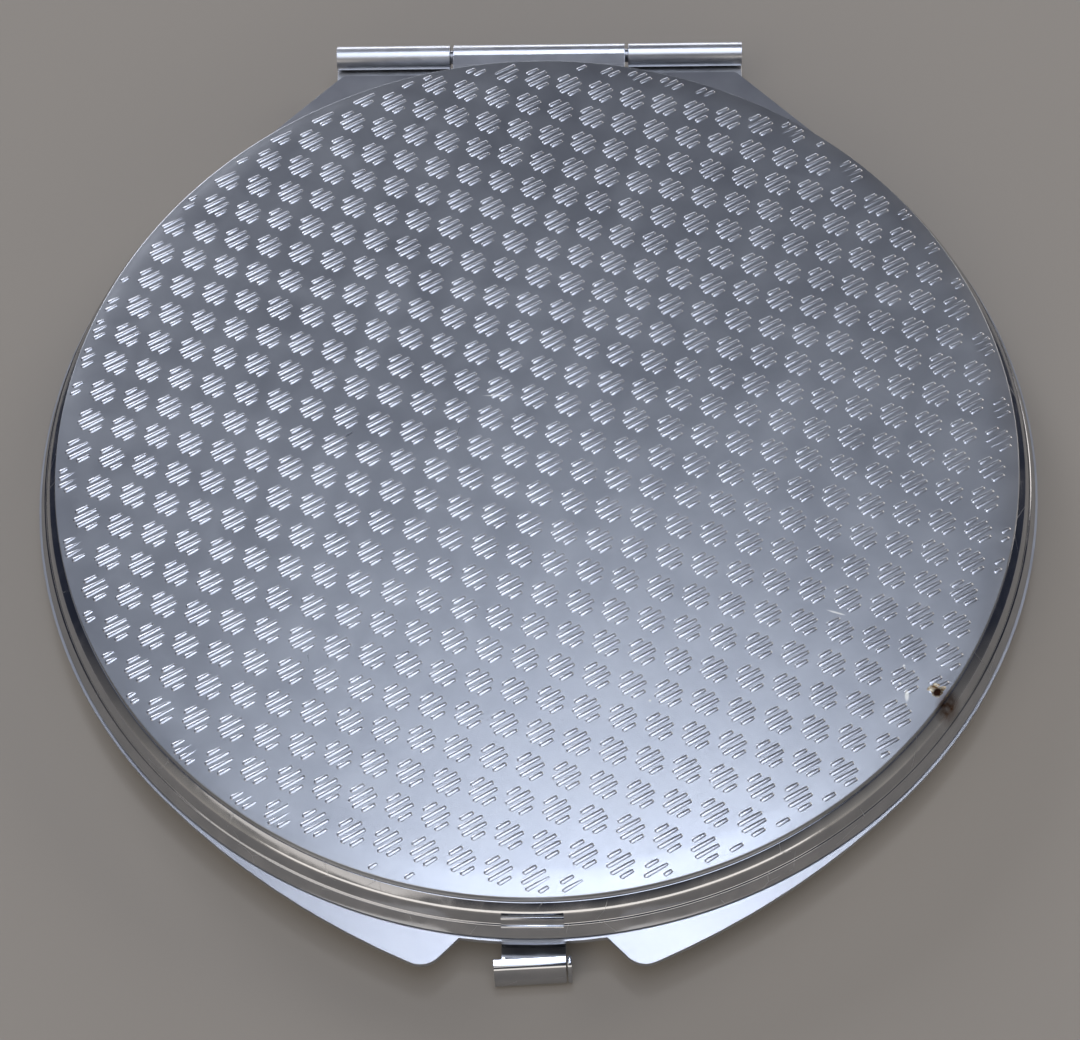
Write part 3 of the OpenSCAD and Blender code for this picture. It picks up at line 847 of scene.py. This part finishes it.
# Two like arcs, one glass thickness apart, joined at the edge and spun round the middle
def hollowGlass(form, low, high):
    thick = high - low - form["sag"]
    bend = (mirrorRadius ** 2 + form["sag"] ** 2) / (2 * form["sag"])
    bm = bmesh.new()
    ends = []
    for z in (low, low + thick):
        first = bm.verts.new((0, 0, z * mm))
        arc = bmesh.ops.spin(bm, geom=[first], axis=(0, 1, 0), cent=(0, 0, (z + bend) * mm),
                             angle=-math.asin(mirrorRadius / bend), steps=form["arcSteps"])
        ends += [item for item in arc["geom_last"] if isinstance(item, bmesh.types.BMVert)]
    bm.edges.new(ends)
    bmesh.ops.spin(bm, geom=bm.verts[:] + bm.edges[:], axis=(0, 0, 1), cent=(0, 0, 0), angle=math.tau,
                   steps=form["turnSteps"], use_merge=True)
    return bm


lidGlass = ontoLid(turnOutline(plainGlass(glassForm, *heights("lid_mirror", closedTop))))
makePiece(lidGlass, "lid_glass", "lid", "mirror", ["lid_mirror"])
makePiece(hollowGlass(glassForm, *heights("base_mirror")), "base_glass", "base", "mirror", ["base_mirror"])
print("mirrors and bezels made")


# Flat and folded sheet pieces keep their CAD shape and get rounded edges

soft = {
    "base_rim_plate": ("base_mouth_plate", "base", "plateSatin", 0.13),
    "lid_rim_plate": ("lid_inner_plate", "lid", "plateSatin", 0.07),
    "base_hinge_leaf": ("base_knuckles", "base", "knuckle", 0.1),
    "lid_hinge_leaf": ("lid_knuckle", "lid", "knuckle", 0.1),
    "hinge_pin": ("hinge_rod", "base", "spring", 0.18),
    "latch_slide": ("latch_tongue", "latch", "chrome", 0.07),
    "latch_guide": ("latch_housing", "base", "spring", 0.05),
    "catch_plate": ("lid_catch", "lid", "chrome", 0.07),
}
middleKnuckle = {
    "stretch": 1.023,  # its gaps are a little narrower than the CAD shape leaves
    "step": 0.12,
    "leafFrom": 34.9,
    "cuts": 8,
    "topBand": 0.01,  # how far below the top a corner still counts as on it
}


# Sinks the leaf's top behind the middle knuckle by a small step, so that the knuckle shows as a full roll
def sinkLeaf(bm, form):
    axis = (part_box("hinge_pin")[0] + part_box("hinge_pin")[1]) / 2 / mm
    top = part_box("lid_hinge_leaf")[1].z / mm
    roll = top - axis.z
    reach = math.sqrt(roll ** 2 - (roll - form["step"]) ** 2)
    places = [axis.y - reach * k / form["cuts"] for k in range(form["cuts"] + 1)]
    for y in places + [form["leafFrom"], form["leafFrom"] + form["step"]]:
        bmesh.ops.bisect_plane(bm, geom=bm.verts[:] + bm.edges[:] + bm.faces[:], dist=meshing["snap"] * mm,
                               plane_co=(0, y * mm, 0), plane_no=(0, 1, 0))
    for vert in bm.verts:
        behind = axis.y - vert.co.y / mm
        onTop = vert.co.z / mm > top - form["topBand"]
        if onTop and 0 < behind < axis.y - form["leafFrom"] - form["step"] / 2:
            low = max(math.sqrt(max(roll ** 2 - behind ** 2, 0)), roll - form["step"])
            vert.co.z = (axis.z + low) * mm
    bmesh.ops.scale(bm, vec=(form["stretch"], 1, 1), verts=bm.verts)
    return bm


for node, (name, body, look, radius) in soft.items():
    shape = softCopy(node, radius)
    if node == "lid_hinge_leaf":
        shape = sinkLeaf(shape, middleKnuckle)
    makePiece(shape, name, body, look, [node])
print("sheet pieces softened,", len(soft))


# Push button: a folded sheet with a rolled top, closed at its right end and set slightly askew

button = {
    "sheet": 0.3,
    "depth": 1.1,
    "roll": (0.5, 0.75),
    "rollRound": 0.24,
    "lean": 0.07,
    "leanRound": 0.45,
    "foot": 0.25,
    "footRound": 0.15,
    "lip": 0.03,
    "lipRound": 0.08,
    "backRound": 0.04,
    "innerShare": 0.6,  # the inner bends' roundings as a share of the outer ones
    "endPlate": 0.28,
    "endGap": 0.1,
    "edges": (0.05, 0.06),  # rounding of the sheet's edges and of the end plate's
    "yaw": 3.0,
}


def buttonFront(form, y, low, high):
    along, down = form["roll"]
    back = y + form["depth"]
    return [(back, high, form["backRound"]), (y + along, high, form["rollRound"]),
            (y + form["lean"], high - down, form["leanRound"]), (y, low + form["foot"], form["footRound"]),
            (y + form["lip"], low, form["lipRound"]), (back, low, form["backRound"])]


def addButton(form):
    low, high = [[c / mm for c in corner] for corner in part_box("latch_button")]
    y, sheet = low[1], form["sheet"]
    outer = buttonFront(form, y, low[2], high[2])
    inner = [(min(a + sheet, y + form["depth"]), b, r * form["innerShare"]) for a, b, r in outer]
    lift = {low[2]: sheet, high[2]: -sheet}
    inner = [(a, b + lift.get(b, 0), r) for a, b, r in inner]
    bodyEnd = high[0] - form["endPlate"] - form["endGap"]
    sheetEdge, plateEdge = form["edges"]
    bm = softenEdges(extrudeAcross(outer + inner[::-1], low[0], bodyEnd), sheetEdge)
    plate = softenEdges(extrudeAcross(outer, high[0] - form["endPlate"], high[0]), plateEdge)
    mesh = bpy.data.meshes.new("endPlate")
    plate.to_mesh(mesh)
    plate.free()
    bm.from_mesh(mesh)
    bpy.data.meshes.remove(mesh)
    yaw = Matrix.Rotation(math.radians(form["yaw"]), 3, "Z")
    bmesh.ops.rotate(bm, cent=(low[0] * mm, low[1] * mm, 0), matrix=yaw, verts=bm.verts)
    return makePiece(bm, "push_button", "latch", "chrome", ["latch_button"])


addButton(button)
print("button made")


# A chip in the lid's edge, where the plating has lifted

chip = {
    "place": (26.26, -19.10),
    "size": (0.86, 0.68),
    "height": 0.14,
    "sunk": 0.03,
    "turn": 40,
    "lumps": 0.32,
    "lumpScale": 1.7,
    "lumpShift": (3, 1, 0),
    "lumpNoise": (0.8, 2.0, 4),  # how fast finer lumps weaken, how much finer each set is, and how many sets
}


def addChip(form):
    bm = bmesh.new()
    bmesh.ops.create_icosphere(bm, subdivisions=4, radius=mm)
    for vert in bm.verts:
        at = vert.co / mm * form["lumpScale"] + Vector(form["lumpShift"])
        lump = noise.fractal(at, *form["lumpNoise"])
        vert.co *= 1 + form["lumps"] * lump
    bmesh.ops.scale(bm, vec=(*form["size"], form["height"]), verts=bm.verts)
    x, y = form["place"]
    z = closedTop - form["height"] - form["sunk"]
    bmesh.ops.rotate(bm, matrix=Matrix.Rotation(math.radians(form["turn"]), 3, "Z"), verts=bm.verts)
    bmesh.ops.translate(bm, vec=(x * mm, y * mm, z * mm), verts=bm.verts)
    return makePiece(bm, "lid_chip", "lid", "brass", even=False)


addChip(chip)
print("chip made")


# Looks for the CAD pieces that stay

kept = {
    "base_pad": "foam",
    "lid_pad": "foam",
    "latch_spring": "spring",
}
for name, look in kept.items():
    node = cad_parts[name]
    node.data.materials.clear()
    node.data.materials.append(finish[look])
print("CAD pieces dressed,", len(kept))


# Floor, lamps and the dim room round them

studio = {
    "floor": "#a59f96",
    "floorSize": 1600,
    "floorRough": 0.9,
    "rearStops": ((0.0, "#373b48"), (0.62, "#242731"), (0.76, "#4e515d"), (1.0, "#555864")),
    "frontStops": ((0.0, "#b8b0a6"), (0.48, "#a8a29b"), (0.72, "#2f323c"), (1.0, "#555864")),
    "frontReach": (-0.45, 0.1),
}
lamps = {  # place, size, watts, colour and shape; each points at the middle of the floor
    "ceilingLamp": ((12, 225, 871), (143, 143), 0.68, "#e6eeff", "ELLIPSE"),
    "ceilingSoft": ((40, -90, 892), (547, 547), 1.75, "#e6eeff", "ELLIPSE"),
    "windowSoft": ((-375, 650, 399), (260, 290), 1.5, "#f4f6ff", "RECTANGLE"),
    "rearSoft": ((-30, 850, 120), (480, 200), 1.2, "#f4f6ff", "RECTANGLE"),
    "rightSoft": ((480, 420, 385), (400, 300), 0.9, "#fff6ec", "RECTANGLE"),
    "leftSoft": ((-560, 420, 900), (500, 500), 0.2, "#e6eeff", "RECTANGLE"),
    "frontHigh": ((-500, -500, 900), (700, 700), 1.4, "#fff6ec", "RECTANGLE"),
    "frontSoft": ((0, -700, 230), (1500, 300), 1.8, "#fff6ec", "RECTANGLE"),
}


def addLamp(name, place, size, watts, colour, shape):
    lamp = bpy.data.lights.new(name, "AREA")
    lamp.shape = shape
    lamp.size, lamp.size_y = [side * mm for side in size]
    lamp.energy = watts
    lamp.color = fromHex(colour)[:3]
    holder = bpy.data.objects.new(name, lamp)
    bpy.context.scene.collection.objects.link(holder)
    spot = Vector(place) * mm
    aim = (-spot).to_track_quat("-Z", "Y").to_matrix().to_4x4()
    holder.matrix_world = Matrix.Translation(spot) @ aim


# Matt pale card under the object: it takes a soft shadow and no shine
def addFloor(form):
    bm = bmesh.new()
    bmesh.ops.create_grid(bm, x_segments=1, y_segments=1, size=form["floorSize"] / 2 * mm)
    mesh = bpy.data.meshes.new("floor")
    bm.to_mesh(mesh)
    bm.free()
    floor = bpy.data.objects.new("floor", mesh)
    bpy.context.scene.collection.objects.link(floor)
    material, tree, shader, where = startMaterial("pale floor")
    shader.inputs["Base Color"].default_value = fromHex(form["floor"])
    shader.inputs["Roughness"].default_value = form["floorRough"]
    mesh.materials.append(material)


# A room by height: dim behind the object and overhead, a little paler and warmer in front, where one stands
def setSky(form):
    world = bpy.data.worlds.new("studio")
    bpy.context.scene.world = world
    world.use_nodes = True
    tree = world.node_tree
    tree.nodes.clear()
    way = addNode(tree, "ShaderNodeTexCoord")
    parts = addNode(tree, "ShaderNodeSeparateXYZ", links={"Vector": way.outputs["Generated"]})
    rear, front = [addNode(tree, "ShaderNodeValToRGB", {"stops": form[stops]}, {"Fac": parts.outputs["Z"]})
                   for stops in ("rearStops", "frontStops")]
    low, high = form["frontReach"]
    toFront = addNode(tree, "ShaderNodeMapRange",
                      {"From Min": low, "From Max": high, "To Min": 1, "To Max": 0},
                      {"Value": parts.outputs["Y"]})
    shown = addNode(tree, "ShaderNodeMix", {"data_type": "RGBA"}, {0: toFront, 6: rear, 7: front})
    back = addNode(tree, "ShaderNodeBackground", {"Strength": 1.0}, {"Color": shown.outputs[2]})
    addNode(tree, "ShaderNodeOutputWorld", links={"Surface": back})


addFloor(studio)
for name, lamp in lamps.items():
    addLamp(name, *lamp)
setSky(studio)
bpy.context.scene.view_settings.view_transform = "Standard"
print("studio set,", len(lamps), "lamps")
